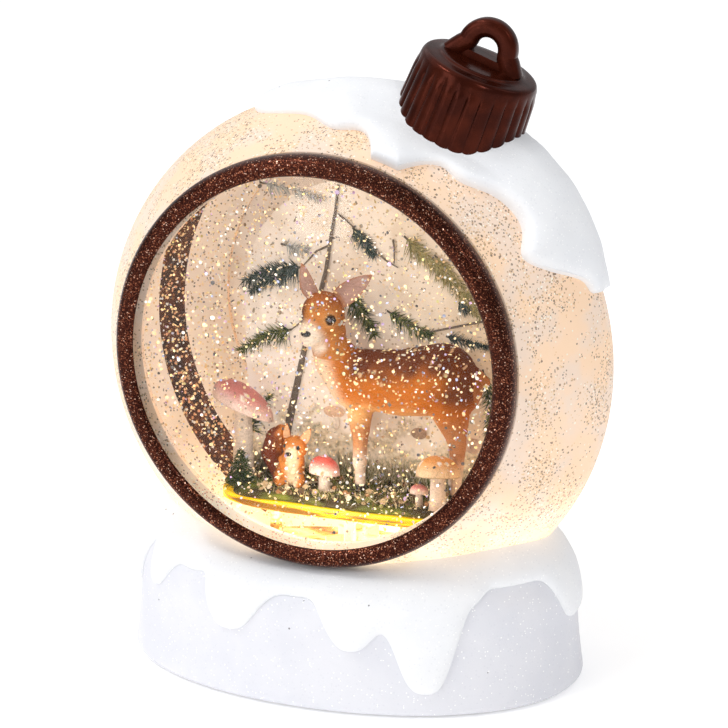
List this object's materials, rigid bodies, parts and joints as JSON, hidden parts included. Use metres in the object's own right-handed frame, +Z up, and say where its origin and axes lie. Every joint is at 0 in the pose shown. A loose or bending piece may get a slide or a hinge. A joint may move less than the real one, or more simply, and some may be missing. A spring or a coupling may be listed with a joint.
{
  "type": "snow globe",
  "caption": "Lighted water-filled snow globe shaped like a bauble, with a woodland scene behind a round window, on a snowy oval base.",
  "frame": {"origin": "centre of the footprint on the table, under the middle of the base", "axes": "+Z up, the front window faces -Y, +X to the right of a viewer who looks at the front window"},
  "size_m": [0.164, 0.1012, 0.2075],
  "materials": {
    "shell": "translucent cream plastic with gold and brown glitter",
    "clear_plastic": "clear moulded plastic",
    "printed_panel": "clear sheet with printed trees",
    "glitter_ring": "dark brown enamel with copper glitter",
    "snow": "white sanded coat with fine sparkle",
    "plinth": "white moulded plastic with a fine sanded coat",
    "cap": "glossy chocolate brown",
    "acrylic": "clear acrylic lit yellow from below",
    "moss": "painted resin, mossy",
    "fawn": "painted resin, fawn with white spots",
    "pink": "painted resin, pink cap and pale stem",
    "red": "painted resin, red cap and pale stem",
    "tan": "painted resin, tan cap and pale stem",
    "needles": "painted resin, dark green",
    "rubber": "soft black",
    "steel": "plated",
    "magnet": "nickel plated",
    "board": "solder mask",
    "lamp": "warm white lens",
    "black": "moulded",
    "cell": "printed sleeve",
    "white": "moulded"
  },
  "bodies": {
    "globe": {"base_housing": "plinth", "battery_1": "cell", "battery_2": "cell", "battery_3": "cell", "battery_tray": "black", "body_shell_front": "shell", "body_shell_rear": "shell", "bottom_plate": "plinth", "cap_loop": "cap", "circuit_board": "board", "contact_left": "steel", "contact_right": "steel", "deer": "fawn", "fill_plug": "rubber", "fir_sapling": "needles", "foot_1": "rubber", "foot_2": "rubber", "foot_3": "rubber", "foot_4": "rubber", "lamp_1": "lamp", "lamp_2": "lamp", "lamp_3": "lamp", "lamp_4": "lamp", "moss_ground": "moss", "motor": "steel", "mushroom_red": "red", "mushroom_small": "pink", "mushroom_tall": "pink", "mushroom_tan": "tan", "neck_plug": "shell", "ornament_cap": "cap", "plate_screw_1": "steel", "plate_screw_2": "steel", "plate_screw_3": "steel", "plate_screw_4": "steel", "ring_front": "glitter_ring", "ring_rear": "glitter_ring", "scene_shelf": "acrylic", "shelf_post_1": "acrylic", "shelf_post_2": "acrylic", "shelf_post_3": "acrylic", "snow_cover_top": "snow", "snow_mantle": "snow", "squirrel": "fawn", "switch_body": "black", "tank_floor": "clear_plastic", "tree_panel": "printed_panel", "window_front": "clear_plastic", "window_rear": "clear_plastic"},
    "battery_door": {"battery_door": "plinth"},
    "switch_knob": {"switch_knob": "white"},
    "magnet_rotor": {"magnet_rotor": "magnet"},
    "impeller": {"impeller": "white"}
  },
  "joints": [
    {"name": "battery_door_hinge", "type": "hinge", "parent": "globe", "child": "battery_door", "pos_m": [-0.0278, 0, 0.0015], "axis": [0, 1, 0], "range_deg": [0, 100]},
    {"name": "switch_slide", "type": "slide", "parent": "globe", "child": "switch_knob", "axis": [0, 1, 0], "range_m": [-0.0025, 0.0025]},
    {"name": "rotor_spin", "type": "hinge", "parent": "globe", "child": "magnet_rotor", "pos_m": [0, 0, 0.0298], "axis": [0, 0, 1], "continuous": true},
    {"name": "impeller_spin", "type": "hinge", "parent": "globe", "child": "impeller", "pos_m": [0, 0, 0.038], "axis": [0, 0, 1], "continuous": true}
  ],
  "couplings": [
    {"joint": "impeller_spin", "follows": "rotor_spin", "ratio": 1}
  ]
}
